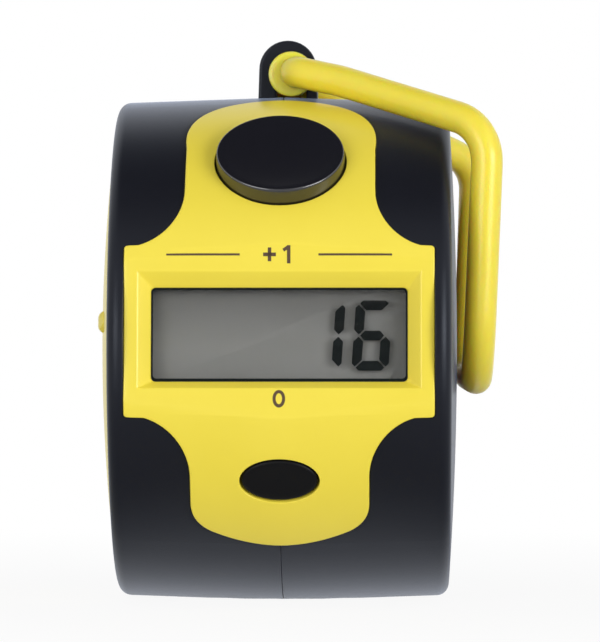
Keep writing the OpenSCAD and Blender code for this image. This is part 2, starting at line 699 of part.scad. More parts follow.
// Side vector carried along a path so that the rings don't twist
function sides(path, i) = i == 0
    ? unit(cross(heading(path, 0), [0, 0, 1]))
    : let (h = heading(path, i), s = sides(path, i - 1)) unit(s - h * (h * s));

module bar(path, radius, around) {
    rings = [for (i = [0 : len(path) - 1])
        let (h = heading(path, i), s = sides(path, i), t = cross(h, s))
        for (k = [0 : around - 1]) let (a = k * 360 / around) path[i] + radius * (s * cos(a) + t * sin(a))];
    last = (len(path) - 1) * around;
    walls = [for (i = [0 : len(path) - 2], k = [0 : around - 1])
        let (a = i * around + k, b = i * around + (k + 1) % around)
        each [[a, a + around, b], [b, a + around, b + around]]];
    caps = [for (k = [1 : around - 2]) each [[0, k, k + 1], [last, last + k + 1, last + k]]];
    polyhedron(rings, concat(walls, caps));
}

// Corner of a route at a height across a turned face and a distance from the drum's axis, with its bend
function at_face(angle, x, across, out, bend) =
    [x, -out * cos(angle) + across * sin(angle), out * sin(angle) + across * cos(angle), bend];

module battery_leads() color("#a33a32") lift() for (side = [-1, 1]) {
    strip_y = side > 0 ? cell_back + cell_d / 2 + contact_t / 2 : cell_back;
    bar(rounded([[-tail_end, strip_y, 0, 0], [lead_x, strip_y, 0, 1], [lead_x, 0.07 * drum_r, side * 0.26 * drum_r, 3],
        at_face(bezel_tilt, lead_x, side * lead_spread, board_back - lead_run, 2),
        at_face(bezel_tilt, lead_x, side * lead_spread, board_back, 0)]),
        lead_d / 2, lead_sides);
}

// Height of a point across a turned face
function across_face(point, angle) = point[1] * sin(angle) + point[2] * cos(angle);

module switch_leads() color("#3d4148") lift() for (x = [-lead_apart, lead_apart]) {
    count_low = count_board_top - switch_board_t;
    reset_low = reset_board_top - switch_board_t;
    board_edge = switch_board_d / 2;
    past_edge = lead_d / 2 + lead_clear;
    count_to = across_face(at_face(count_angle, x, -board_edge, count_low, 0), bezel_tilt) - past_edge;
    reset_to = across_face(at_face(-reset_angle, x, board_edge, reset_low, 0), bezel_tilt) + past_edge;
    bar(rounded([at_face(count_angle, x, -0.68 * board_edge, count_low, 0),
        at_face(count_angle, x, -0.68 * board_edge, count_low - lead_stub, lead_bend),
        at_face(bezel_tilt, x, count_to, board_back - lead_stub, lead_bend),
        at_face(bezel_tilt, x, count_to, board_back, 0)]), lead_d / 2, lead_sides);
    bar(rounded([at_face(-reset_angle, x, 0.6 * board_edge, reset_low, 0),
        at_face(-reset_angle, x, 0.6 * board_edge, reset_low - lead_stub, lead_bend),
        at_face(bezel_tilt, x, reset_to, board_back - lead_stub, lead_bend),
        at_face(bezel_tilt, x, reset_to, board_back, 0)]), lead_d / 2, lead_sides);
}

// Dome of the cover at a radius, from the drum's middle, raised by a margin
function cover_x(r, raise) = half_w + 0.15 + raise + cover_dome * (1 - pow(r / cover_r, 2));

module cover_dome_solid(raise) rotate([0, -90, 0]) rotate_extrude($fn = 128)
    polygon(concat([[0, seat_x + slip]], [[cover_r, seat_x + slip]], [for (i = [8 : -1 : 0])
        let (r = cover_r * i / 8) [r, cover_x(r, raise)]]));

module battery_cover() color("#f2d21f") lift() {
    difference() {
        cover_dome_solid(0);
        rotate([0, -90, 0]) rotate_extrude($fn = 128) polygon(concat([[0, seat_x - 1], [cover_r - 2, seat_x - 1]],
            [for (i = [8 : -1 : 0]) let (r = (cover_r - 2) * i / 8) [r, cover_x(r, -cover_t)]]));
    }
    intersection() {
        cover_dome_solid(rib_h);
        translate([-2 * half_w, -rib_l / 2, rib_up - rib_w / 2]) cube([half_w, rib_l, rib_w]);
    }
    rotate([0, -90, 0]) translate([0, 0, hub_ring_in - slip - key_t])
        cylinder(d = hub_d, h = cover_x(0, -cover_t) - hub_ring_in + slip + key_t + 0.4);
    key_sector(0, key_angle, key_r, hub_ring_in - slip - key_t, hub_ring_in - slip);
}

module case_screws() color("#b9bcc0") lift() mirror([1, 0, 0]) at_case_bosses() {
    translate([0, 0, -case_screw_end]) cylinder(d = case_screw_d, h = case_screw_end + case_head_out - case_head_t);
    translate([0, 0, case_head_out - case_head_t]) cylinder(d = case_head_d, h = case_head_t);
}

module finger_loop() color("#f2d21f") lift() {
    bar(rounded(loop_route), bar_d / 2, bar_sides);
    translate([pivot_x, 0, pivot_h]) {
        translate([0, flange_back + flange_mid - 0.1, 0]) outward_axis()
            cylinder(d = bar_d, h = flange_back + flange_front + 2 * flange_mid - 0.2);
        translate([0, -flange_front, 0]) outward_axis() cylinder(d = loop_flange_d, h = loop_flange_t);
        translate([0, flange_back + loop_flange_t, 0]) outward_axis() cylinder(d = loop_flange_d, h = loop_flange_t);
    }
}

left_shell();
right_shell();
face_plate();
window_lens();
lcd_front_glass();
lcd_digits();
lcd_rear_glass();
lcd_reflector();
lcd_frame();
zebra_strip();
circuit_board();
chip_blob();
crystal();
capacitors();
board_screws();
count_button();
count_switch_body();
count_switch_plunger();
count_board();
reset_button();
reset_switch_body();
reset_switch_plunger();
reset_board();
battery_cell();
contact_positive();
contact_negative();
battery_leads();
switch_leads();
battery_cover();
case_screws();
finger_loop();
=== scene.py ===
import math

import bmesh
import bpy
import numpy as np
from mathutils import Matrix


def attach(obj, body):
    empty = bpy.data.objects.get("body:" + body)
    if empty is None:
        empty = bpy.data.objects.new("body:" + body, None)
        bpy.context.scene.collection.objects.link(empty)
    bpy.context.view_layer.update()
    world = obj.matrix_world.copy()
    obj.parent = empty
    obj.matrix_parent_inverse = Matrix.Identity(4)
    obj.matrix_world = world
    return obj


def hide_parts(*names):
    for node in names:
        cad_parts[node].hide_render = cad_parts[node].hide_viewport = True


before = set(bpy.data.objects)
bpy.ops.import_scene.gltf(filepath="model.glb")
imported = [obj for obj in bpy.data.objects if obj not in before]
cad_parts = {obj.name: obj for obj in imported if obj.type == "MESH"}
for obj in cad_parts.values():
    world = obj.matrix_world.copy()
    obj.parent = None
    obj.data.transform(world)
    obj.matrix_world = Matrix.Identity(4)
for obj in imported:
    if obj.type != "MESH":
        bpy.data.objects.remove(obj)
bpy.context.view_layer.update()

# View: a long lens looks almost square at the display, a touch from the right. The counter
# stands on a pale studio floor between two broad soft lamps, and what its gloss black mirrors
# is darker overhead, in front and round its foot than the white that the camera sees. Right
# under it the floor shows the gloss a white disc that the camera doesn't see: a painted reflection.
mm = 0.001
drum_r = 29.0
flat_half = 4.5
axis_h = math.sqrt(drum_r**2 - flat_half**2)
scene = bpy.context.scene
scene.view_settings.view_transform = "Standard"
camera = bpy.data.objects.new("camera", bpy.data.cameras.new("camera"))
camera.data.lens = 243.7
camera.data.sensor_width = 36.0
camera.data.clip_start = 0.01
camera.location = (0.01099, -0.50188, (axis_h + 3.21) * mm)
camera.rotation_euler = (math.radians(90), 0, math.radians(1.05))
scene.collection.objects.link(camera)
scene.camera = camera


def new_material(name):
    """Empty node material, with its nodes and links, ready for a shader."""
    material = bpy.data.materials.new(name)
    material.use_nodes = True
    material.node_tree.nodes.clear()
    return material, material.node_tree.nodes, material.node_tree.links


def combine(nodes, links, operation, first, second):
    """Value of one step of arithmetic on two others."""
    step = nodes.new("ShaderNodeMath")
    step.operation = operation
    links.new(first, step.inputs[0])
    links.new(second, step.inputs[1])
    return step.outputs[0]


def ramp(nodes, links, value, start, stop, low, high, kind="LINEAR"):
    """Value that goes from low to high while another goes from start to stop, and then holds."""
    step = nodes.new("ShaderNodeMapRange")
    step.interpolation_type = kind
    ends = (("From Min", start), ("From Max", stop), ("To Min", low), ("To Max", high))
    for end, number in ends:
        step.inputs[end].default_value = number
    links.new(value, step.inputs["Value"])
    return step.outputs["Result"]


def mix_shaders(nodes, links, factor, first, second):
    """Shader that goes from the first to the second while the factor goes from 0 to 1."""
    mix = nodes.new("ShaderNodeMixShader")
    links.new(factor, mix.inputs[0])
    links.new(first, mix.inputs[1])
    links.new(second, mix.inputs[2])
    return mix.outputs[0]


def looked_at(nodes, links):
    """Factor that is 1 for camera, glossy and clear rays and 0 for light's, and the ray node."""
    path = nodes.new("ShaderNodeLightPath")
    seen = path.outputs["Is Camera Ray"]
    for ray in ("Is Glossy Ray", "Is Transmission Ray"):
        seen = combine(nodes, links, "MAXIMUM", seen, path.outputs[ray])
    return seen, path


floor_mesh = bpy.data.meshes.new("floor")
floor_size = 3.0
floor_square = [(-1, -1), (1, -1), (1, 1), (-1, 1)]
floor_points = [(floor_size * x, floor_size * y, 0) for x, y in floor_square]
floor_mesh.from_pydata(floor_points, [], [(0, 1, 2, 3)])
floor = bpy.data.objects.new("floor", floor_mesh)
scene.collection.objects.link(floor)
floor_material, nodes, links = new_material("floor_pale")
floor_shader = nodes.new("ShaderNodeBsdfPrincipled")
floor_shader.inputs["Base Color"].default_value = (0.8, 0.8, 0.81, 1)
floor_shader.inputs["Roughness"].default_value = 0.8
floor_white = nodes.new("ShaderNodeEmission")
floor_white.inputs["Color"].default_value = (1, 1, 1, 1)
seen, path = looked_at(nodes, links)
coords = nodes.new("ShaderNodeTexCoord")
far = nodes.new("ShaderNodeVectorMath")
far.operation = "LENGTH"
links.new(coords.outputs["Object"], far.inputs[0])
# Painted reflection: a white disc on the floor right under the counter, seen only by glossy rays.
painted_reflection_under = (0.022, 0.036)
around_foot = (0.04, 0.16)
whites = []
for ray, reach, near, away in ((path.outputs["Is Glossy Ray"], painted_reflection_under, 1.0, 0.0),
                               (seen, around_foot, 0.1, 1.0),
                               (path.outputs["Is Camera Ray"], around_foot, 0.92, 1.0)):
    fade = ramp(nodes, links, far.outputs["Value"], *reach, near, away)
    whites.append(combine(nodes, links, "MULTIPLY", ray, fade))
whitest = combine(nodes, links, "MAXIMUM", whites[0], whites[1])
whitest = combine(nodes, links, "MAXIMUM", whitest, whites[2])
floor_look = mix_shaders(nodes, links, whitest, floor_shader.outputs[0], floor_white.outputs[0])
floor_out = nodes.new("ShaderNodeOutputMaterial")
links.new(floor_look, floor_out.inputs["Surface"])
floor_mesh.materials.append(floor_material)

world = bpy.data.worlds.new("studio")
scene.world = world
world.use_nodes = True
nodes = world.node_tree.nodes
links = world.node_tree.links
nodes.clear()
fill_light = nodes.new("ShaderNodeBackground")
fill_light.inputs["Color"].default_value = (0.95, 0.97, 1.0, 1)
fill_light.inputs["Strength"].default_value = 0.42
coords = nodes.new("ShaderNodeTexCoord")
height = nodes.new("ShaderNodeSeparateXYZ")
links.new(coords.outputs["Generated"], height.inputs[0])
overhead = ramp(nodes, links, height.outputs["Z"], 0.75, 0.97, 1.0, 0.06, "SMOOTHSTEP")
toward = nodes.new("ShaderNodeVectorMath")
toward.operation = "DOT_PRODUCT"
toward.inputs[1].default_value = (0, -0.988, 0.156)
links.new(coords.outputs["Generated"], toward.inputs[0])
in_front = ramp(nodes, links, toward.outputs["Value"], 0.93, 0.985, 1.0, 0.08, "SMOOTHSTEP")
shade = combine(nodes, links, "MINIMUM", overhead, in_front)
seen, path = looked_at(nodes, links)
tent = combine(nodes, links, "MAXIMUM", shade, path.outputs["Is Camera Ray"])
backdrop = nodes.new("ShaderNodeBackground")
backdrop.inputs["Color"].default_value = (1, 1, 1, 1)
links.new(tent, backdrop.inputs["Strength"])
surround = mix_shaders(nodes, links, seen, fill_light.outputs[0], backdrop.outputs[0])
world_out = nodes.new("ShaderNodeOutputWorld")
links.new(surround, world_out.inputs["Surface"])


def soft_lamp(name, place, target, size, power):
    """Square area lamp at a place, turned to look at a target, both in metres."""
    lamp = bpy.data.lights.new(name, "AREA")
    lamp.size = size
    lamp.energy = power
    holder = bpy.data.objects.new(name, lamp)
    holder.location = place
    aim = np.array(target) - np.array(place)
    tip = math.atan2(math.hypot(aim[0], aim[1]), -aim[2])
    holder.rotation_euler = (tip, 0, math.atan2(-aim[0], aim[1]))
    scene.collection.objects.link(holder)


soft_lamp("right", (0.66, -0.72, 0.1), (0, 0, 0.03), size=0.5, power=6.6)
soft_lamp("left", (-0.44, -0.8, 0.08), (0, 0, 0.03), size=0.5, power=3.6)

# Case halves: two black shells moulded in satin plastic with a fine grain, drafted 2 degrees
# away from the seam and screwed together under the battery cover. Each has a rounded edge, a
# bulging side and a cut at the front for the face plate. The left is recessed for the cover.
draft = math.tan(math.radians(2))
half_w = 18.9
edge_r = 1.35
side_dome = 0.95
wall = 1.95
bezel_tilt = 4.4
cover_r = 25.0


def build(name, patches, sharp=35.0):
    """Join grids of points in millimetres into one smooth mesh in metres, on the standing flat."""
    points = []
    faces = []
    base = 0
    for patch in patches:
        rows, cols = patch.shape[:2]
        index = base + np.arange(rows * cols).reshape(rows, cols)
        quads = np.stack([index[:-1, :-1], index[:-1, 1:], index[1:, 1:], index[1:, :-1]], -1)
        points.append(patch.reshape(-1, 3))
        faces.append(quads.reshape(-1, 4))
        base += rows * cols
    points = (np.concatenate(points) + [0, 0, axis_h]) * mm
    mesh = bpy.data.meshes.new(name)
    mesh.from_pydata(points.tolist(), [], np.concatenate(faces).tolist())
    work = bmesh.new()
    work.from_mesh(mesh)
    bmesh.ops.remove_doubles(work, verts=work.verts, dist=2e-7)
    bmesh.ops.dissolve_degenerate(work, edges=work.edges, dist=1e-8)
    bmesh.ops.recalc_face_normals(work, faces=work.faces)
    work.to_mesh(mesh)
    work.free()
    mesh.polygons.foreach_set("use_smooth", np.ones(len(mesh.polygons), dtype=bool))
    mesh.set_sharp_from_angle(angle=math.radians(sharp))
    piece = bpy.data.objects.new(name, mesh)
    scene.collection.objects.link(piece)
    return piece


def on_drum(x, angle, radius):
    """Point at X, at an angle in degrees up from the front, at a radius from the drum's axis."""
    x, angle, radius = np.broadcast_arrays(x, np.radians(angle), radius)
    return np.stack([x, -radius * np.cos(angle), radius * np.sin(angle)], -1)


plate_half_w = 17.0
plate_half_h = 9.6
plate_gap = 0.05
upper_neck = 10.5
lower_neck = 9.85
flare_w = 6.6
flare_h = 7.25
flare_at = 26.0
flare_up = 3.647
top_end_at = 49.9
top_end_r = 10.6
lower_reach = 12.95
lower_bow = 3.26
bow_end = 0.78
corner_top = 7.2
side_round = 0.4
side_round_angle = 0.75
side_start_angle = 0.1
ledge_angles = np.linspace(0.02, 0.06, 4)
frame_span = (-6.46, 6.79)
side_rows = [-8.4, -8.0, -7.6, -7.2, -6.8, frame_span[0], -3, 0, 3, frame_span[1],
             7.1, 7.4, 7.7, 8.0, 8.4]


def plate_edge(grow):
    """Right-hand outline of the face plate, as X and angle, from its lower tip to its upper tip.

    Each stretch is drawn across a plane that touches the drum, and w across that plane
    becomes the angle asin(w / radius). The outline is a bowed end, a round corner, a straight
    neck, a hollow corner, the display part's side, and on up to a round end. The bow falls as
    the square of X, the round corner is a Bezier curve and the hollow corner an ellipse.
    """
    def up(at, w):
        """Angle of a point w across the plane that touches the drum at an angle."""
        return bezel_tilt + at + np.degrees(np.arcsin(w / drum_r))

    edge = np.degrees(np.arcsin((plate_half_h + grow) / drum_r))
    w_edge = drum_r * math.sin(math.radians(edge - flare_at))
    t = np.linspace(0, bow_end, 12)
    neck_x = lower_neck + grow
    reach = lower_reach + grow
    low = [(neck_x * t, up(-flare_at, -(reach - lower_bow * t**2)))]
    t = np.linspace(0, 1, 10)[1:]
    bow_w = reach - lower_bow * bow_end**2
    curve = (1 - t)**2 * bow_w + 2 * t * (1 - t) * (reach - lower_bow) + t**2 * corner_top
    low.append((neck_x - neck_x * (1 - bow_end) * (1 - t)**2, up(-flare_at, -curve)))
    low.append((np.full(8, neck_x), up(-flare_at, -np.linspace(corner_top, flare_up, 9)[1:])))
    stop = math.degrees(math.asin((flare_up - w_edge) / (flare_h - grow)))
    turn = np.radians(np.linspace(0, stop, 16)[1:])
    hollow_x = flare_w - (flare_w - grow) * np.cos(turn)
    hollow_w = flare_up - (flare_h - grow) * np.sin(turn)
    low.append((lower_neck + hollow_x, up(-flare_at, -hollow_w)))
    corner = np.radians(np.linspace(0, 90, 6))
    side_x = plate_half_w + grow
    corner_x = side_x - side_round
    ledge = np.linspace(lower_neck + hollow_x[-1], corner_x, 6)[1:-1]
    low.append((ledge, bezel_tilt - edge + ledge_angles))
    low.append((corner_x + side_round * np.sin(corner),
                bezel_tilt - edge + side_start_angle + side_round_angle * (1 - np.cos(corner))))
    side = np.degrees(np.arcsin(np.array(side_rows) / drum_r))
    middle = [(np.full(len(side), side_x), bezel_tilt + side)]
    high = [(corner_x + side_round * np.cos(corner),
             bezel_tilt + edge - side_start_angle - side_round_angle * (1 - np.sin(corner)))]
    ledge = np.linspace(corner_x, upper_neck + hollow_x[-1], 6)[1:-1]
    high.append((ledge, bezel_tilt + edge - ledge_angles[::-1]))
    high.append((upper_neck + hollow_x[::-1], up(flare_at, hollow_w[::-1])))
    end_r = top_end_r + grow
    start = math.degrees(math.acos((upper_neck + grow) / end_r))
    arc_low = up(top_end_at, -end_r * math.sin(math.radians(start)))
    neck_low = up(flare_at, flare_up)
    high.append((np.full(10, upper_neck + grow), np.linspace(neck_low, arc_low, 12)[1:-1]))
    turn = np.radians(np.linspace(-start, 90, 30))
    high.append((end_r * np.cos(turn), up(top_end_at, end_r * np.sin(turn))))
    x, angle = np.concatenate([np.stack(p, -1) for p in low + middle + high]).T
    return np.maximum(x, 0), angle


def edge_normal(x, angle):
    """Unit vector across the drum's surface that points away from the plate, in millimetres."""
    run = np.gradient(np.radians(angle) * drum_r)
    step = np.gradient(x)
    size = np.hypot(run, step)
    return run / size, -step / size


lip_r = 0.1
seam_lip_r = 0.09
seam_gap = 0.015
tip_slant = 0.7
cover_gap = 0.1
seat_lip = 0.15
seat_depth = 1.0
seat_ring = 12.0


def half_shell(side, left):
    """Grid from the middle of the inner side wall, over the opening's lip, to the outer middle.

    Each row is one angle round the drum. Its profile starts at the plate's outline, or at
    the seam where there is no plate.
    """
    x, angle = plate_edge(plate_gap)
    back = np.linspace(angle[-1], angle[0] + 360, 82)[1:-1]
    nx, ns = edge_normal(x, angle)
    nx[0] = nx[-1] = ns[-1] = tip_slant
    ns[0] = -tip_slant
    lip = np.concatenate([np.full(len(x), lip_r), np.full(len(back), seam_lip_r)])[:, None]
    x = np.concatenate([x, np.full(len(back), seam_gap)])[:, None]
    angle = np.concatenate([angle, back])[:, None]
    nx = np.concatenate([nx, np.ones(len(back))])[:, None]
    ns = np.degrees(np.concatenate([ns, np.zeros(len(back))]) / drum_r)[:, None]
    one = np.ones_like(x)
    inner_x = half_w - wall
    inner_r = drum_r - wall - draft * inner_x
    cols = [(inner_x * one, angle, r * one) for r in (0, inner_r / 2, inner_r)]
    cols.append((x, angle, drum_r - draft * x - wall))
    for a in np.radians(np.linspace(0, 90, 5)):
        inset = lip * (1 - math.cos(a))
        px = x + nx * inset
        cols.append((px, angle + ns * inset, drum_r - draft * px - lip * (1 - math.sin(a))))
    start_x = x + nx * lip
    rim_x = half_w - edge_r
    top_r = drum_r - draft * rim_x - edge_r
    for t in np.linspace(0, 1, 13)[1:]:
        px = start_x + (rim_x - start_x) * t
        cols.append((px, angle + ns * lip * (1 - t), drum_r - draft * px))
    rim = [(rim_x + edge_r * math.sin(a), top_r + edge_r * math.cos(a))
           for a in np.radians(np.linspace(0, 90, 9)[1:])]

    def bulge(r):
        """Half width of the case at a radius on its side, which bulges as the radius squared."""
        return half_w + side_dome * (1 - (r / top_r)**2)

    if left:
        seat = cover_r + cover_gap
        seat_x = half_w - seat_depth
        rim += [(bulge(r), r) for r in np.linspace(top_r, seat + seat_lip, 5)[1:]]
        rim += [(bulge(seat) - seat_lip / 3, seat + seat_lip / 3), (bulge(seat) - seat_lip, seat)]
        rim += [(seat_x, seat), (seat_x, seat_ring), (seat_x, 0)]
    else:
        rim += [(bulge(r), r) for r in top_r * np.sin(np.radians(np.linspace(90, 0, 15)))[1:]]
    cols += [(px * one, angle, r * one) for px, r in rim]
    grid = np.stack([on_drum(side * px, pa, pr)[:, 0] for px, pa, pr in cols], 1)
    grid[..., 2] = np.maximum(grid[..., 2], -axis_h)
    return np.concatenate([grid, grid[:1]])


def value_socket(group, name, way):
    """Number that goes into a node group or comes out of it."""
    return group.interface.new_socket(name, in_out=way, socket_type="NodeSocketFloat")


def moulded_grain():
    """Group: fine moulded grain and faint mottling, as a height and a value from 0 to 1."""
    group = bpy.data.node_groups.new("moulded_grain", "ShaderNodeTree")
    value_socket(group, "Size", "INPUT").default_value = 3000
    value_socket(group, "Height", "OUTPUT")
    value_socket(group, "Mottle", "OUTPUT")
    get = group.nodes.new("NodeGroupInput")
    put = group.nodes.new("NodeGroupOutput")
    coords = group.nodes.new("ShaderNodeTexCoord")
    fine = group.nodes.new("ShaderNodeTexNoise")
    fine.inputs["Detail"].default_value = 3
    fine.inputs["Roughness"].default_value = 0.6
    broad = group.nodes.new("ShaderNodeTexNoise")
    broad.inputs["Scale"].default_value = 120
    broad.inputs["Detail"].default_value = 4
    group.links.new(coords.outputs["Object"], fine.inputs["Vector"])
    group.links.new(coords.outputs["Object"], broad.inputs["Vector"])
    group.links.new(get.outputs["Size"], fine.inputs["Scale"])
    group.links.new(fine.outputs["Fac"], put.inputs["Height"])
    group.links.new(broad.outputs["Fac"], put.inputs["Mottle"])
    return group


grain = moulded_grain()


def edge_rub():
    """Group: mask that is 1 on worn convex edges and 0 elsewhere, broken up by noise."""
    group = bpy.data.node_groups.new("edge_rub", "ShaderNodeTree")
    value_socket(group, "Amount", "INPUT").default_value = 0.3
    value_socket(group, "Mask", "OUTPUT")
    nodes = group.nodes
    links = group.links
    get = nodes.new("NodeGroupInput")
    put = nodes.new("NodeGroupOutput")
    shape = nodes.new("ShaderNodeNewGeometry")
    convex = ramp(nodes, links, shape.outputs["Pointiness"], 0.53, 0.62, 0, 1)
    coords = nodes.new("ShaderNodeTexCoord")
    noise = nodes.new("ShaderNodeTexNoise")
    noise.inputs["Scale"].default_value = 900
    links.new(coords.outputs["Object"], noise.inputs["Vector"])
    broken = combine(nodes, links, "MULTIPLY", convex, noise.outputs["Fac"])
    scaled = combine(nodes, links, "MULTIPLY", broken, get.outputs["Amount"])
    links.new(scaled, put.inputs["Mask"])
    return group


rub = edge_rub()


def plastic(name, dark, light, rough, rough_spread, grain_size, grain_depth, worn=(1, 1, 1),
            wear=0.0, shine=0.5, index=1.5, tint=(1, 1, 1), sheen=0.0, glow=0.0):
    """Moulded plastic: mottled colour, grain in bump and roughness, and paler rubbed edges.

    Sheen is a bluish haze at grazing angles, and glow is the share of the light that goes in
    and comes out close by, red farthest.
    """
    material, nodes, links = new_material(name)
    skin = nodes.new("ShaderNodeGroup")
    skin.node_tree = grain
    skin.inputs["Size"].default_value = grain_size
    mottle = nodes.new("ShaderNodeMix")
    mottle.data_type = "RGBA"
    mottle.inputs["A"].default_value = (*dark, 1)
    mottle.inputs["B"].default_value = (*light, 1)
    links.new(skin.outputs["Mottle"], mottle.inputs["Factor"])
    edges = nodes.new("ShaderNodeGroup")
    edges.node_tree = rub
    edges.inputs["Amount"].default_value = wear
    paler = nodes.new("ShaderNodeMix")
    paler.data_type = "RGBA"
    paler.inputs["B"].default_value = (*worn, 1)
    links.new(edges.outputs["Mask"], paler.inputs["Factor"])
    links.new(mottle.outputs["Result"], paler.inputs["A"])
    gloss = ramp(nodes, links, skin.outputs["Height"], 0, 1, rough - rough_spread,
                 rough + rough_spread)
    bump = nodes.new("ShaderNodeBump")
    bump.inputs["Strength"].default_value = 1.0
    bump.inputs["Distance"].default_value = grain_depth * mm
    links.new(skin.outputs["Height"], bump.inputs["Height"])
    shader = nodes.new("ShaderNodeBsdfPrincipled")
    shader.inputs["IOR"].default_value = index
    shader.inputs["Specular IOR Level"].default_value = shine
    shader.inputs["Specular Tint"].default_value = (*tint, 1)
    shader.inputs["Subsurface Weight"].default_value = glow
    shader.inputs["Subsurface Radius"].default_value = (1.0, 0.6, 0.08)
    shader.inputs["Subsurface Scale"].default_value = 0.0018
    shader.inputs["Sheen Weight"].default_value = sheen
    shader.inputs["Sheen Roughness"].default_value = 0.35
    shader.inputs["Sheen Tint"].default_value = (0.6, 0.72, 1.0, 1)
    links.new(paler.outputs["Result"], shader.inputs["Base Color"])
    links.new(gloss, shader.inputs["Roughness"])
    links.new(bump.outputs["Normal"], shader.inputs["Normal"])
    out = nodes.new("ShaderNodeOutputMaterial")
    links.new(shader.outputs[0], out.inputs["Surface"])
    return material


case_black = plastic("case_black", (0.004, 0.004, 0.007), (0.007, 0.007, 0.011),
                     rough=0.35, rough_spread=0.08, grain_size=5200, grain_depth=0.008,
                     shine=0.24, tint=(0.8, 0.88, 1.0), sheen=0.4)
for side, node in [(-1, "left_shell"), (1, "right_shell")]:
    shell = build("case_left" if side < 0 else "case_right", [half_shell(side, side < 0)])
    shell.data.materials.append(case_black)
    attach(shell, "case")
    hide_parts(node)

# Lug: an arched ear on top of the case, half of it on each shell, with a keyhole slot
# for the loop's pin. Its edges are rounded over like the rest of the moulding.
lug_x = 0.45
lug_w = 6.62
lug_foot_w = 6.86
lug_foot = 28.4
lug_top = 35.47
lug_front = -2.5
lug_back = 4.5
lug_round = 0.45
lug_round_share = 0.13
pivot_x = 0.845
pivot_h = 31.53
slot_w = 3.45
hole_r = 1.86
leg_share = 0.25
slot_share = 0.2
t = np.linspace(0, 1, 41)
from_end = np.minimum(t, 1 - t)
arch = np.radians(180 - 180 * np.clip((t - leg_share) / (1 - 2 * leg_share), 0, 1))
arch_h = lug_top - lug_w / 2
rise = np.minimum(from_end / leg_share, 1)
outer_x = lug_x + (lug_foot_w + (lug_w - lug_foot_w) * rise) / 2 * np.cos(arch)
outer_h = lug_foot + (arch_h - lug_foot) * rise + lug_w / 2 * np.sin(arch)
half_slot = math.degrees(math.asin(slot_w / 2 / hole_r))
round_hole = np.clip((t - slot_share) / (1 - 2 * slot_share), 0, 1)
hole = np.radians(270 - half_slot - (360 - 2 * half_slot) * round_hole)
slot_top = pivot_h + hole_r * math.sin(math.radians(270 - half_slot))
slot_h = lug_foot + (slot_top - lug_foot) * from_end / slot_share
hole_x = pivot_x + hole_r * np.cos(hole)
hole_h = np.where(from_end < slot_share, slot_h, pivot_h + hole_r * np.sin(hole))
stations = [(0, 0.2), (0.1, 0), (0.5, 0), (0.8, 0)]
stations += [(1 - lug_round_share * (1 - math.sin(a)), lug_round * (1 - math.cos(a)))
             for a in np.radians(np.linspace(0, 90, 6))]
around_lug = [(share, lug_back - inset) for share, inset in stations]
around_lug += [(share, lug_front + inset) for share, inset in reversed(stations)]
around_lug.append(around_lug[0])
lug_grid = [np.stack([hole_x + (outer_x - hole_x) * share, np.full(len(t), y),
                      hole_h + (outer_h - hole_h) * share], -1) for share, y in around_lug]
lug = build("loop_lug", [np.stack(lug_grid, 1)])
lug.data.materials.append(case_black)
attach(lug, "case")

# Face plate: one yellow satin moulding wrapped round the front, with a flat display part,
# a sloping frame down to the window, and oval openings for the two buttons.
plate_r = 29.25
bezel_h = math.sqrt(plate_r**2 - plate_half_h**2)
plate_round = 0.14
plate_drop = 1.5
crease_soft = 0.03
ridge_soft = 1.5
ridge_cut = 1.2


def plate_face(x, angle):
    """Radius of the plate's face: the drum's draft, cut by the display's plane with a soft crease."""
    drum = plate_r - draft * (np.sqrt(np.asarray(x)**2 + ridge_soft) - ridge_cut)
    flat = bezel_h / np.maximum(np.cos(np.radians(np.asarray(angle) - bezel_tilt)), 0.2)
    return -crease_soft * np.logaddexp(-drum / crease_soft, -flat / crease_soft)


frame_share = 15.4 / 16.65
count_share = 14.05 / 16.65
reset_share = 0.6
plate_x, plate_angle = plate_edge(0)
plate_nx, plate_ns = edge_normal(plate_x, plate_angle)
plate_nx[0] = plate_nx[-1] = 0
plate_ns[0] = -1
plate_ns[-1] = 1
inner_x = np.maximum(plate_x - plate_nx * plate_round, 0)
inner_angle = plate_angle - np.degrees(plate_ns * plate_round / drum_r)
across = np.array([0, 0.1, 0.2, 0.3, 0.4, 0.5, reset_share, 0.72, count_share, frame_share, 0.965, 1])
across = np.concatenate([-across[:0:-1], across])
face_x = inner_x[:, None] * across
face_angle = np.repeat(inner_angle[:, None], len(across), 1)
main = on_drum(face_x, face_angle, plate_face(face_x, face_angle))


def block(low, high, share):
    """Rows and columns of the plate's grid between two angles, and a share of the width each way."""
    rows = [int(np.argmin(np.abs(plate_angle - angle))) for angle in (low, high)]
    cols = [int(np.argmin(np.abs(across - edge))) for edge in (-share, share)]
    return (*rows, *cols)


def rim_of(grid, r0, r1, c0, c1):
    """Entries of a grid round the edge of a block, in order, closed."""
    return np.concatenate([grid[r0, c0:c1], grid[r0:r1, c1], grid[r1, c1:c0:-1],
                           grid[r1:r0:-1, c0], grid[r0:r0 + 1, c0]])


def without_blocks(grid, blocks):
    """Split a grid into bands so that rectangular blocks are left out."""
    parts = []
    row = 0
    for r0, r1, c0, c1 in sorted(blocks):
        parts += [grid[row:r0 + 1], grid[r0:r1 + 1, :c0 + 1], grid[r0:r1 + 1, c1:]]
        row = r1
    return parts + [grid[row:]]


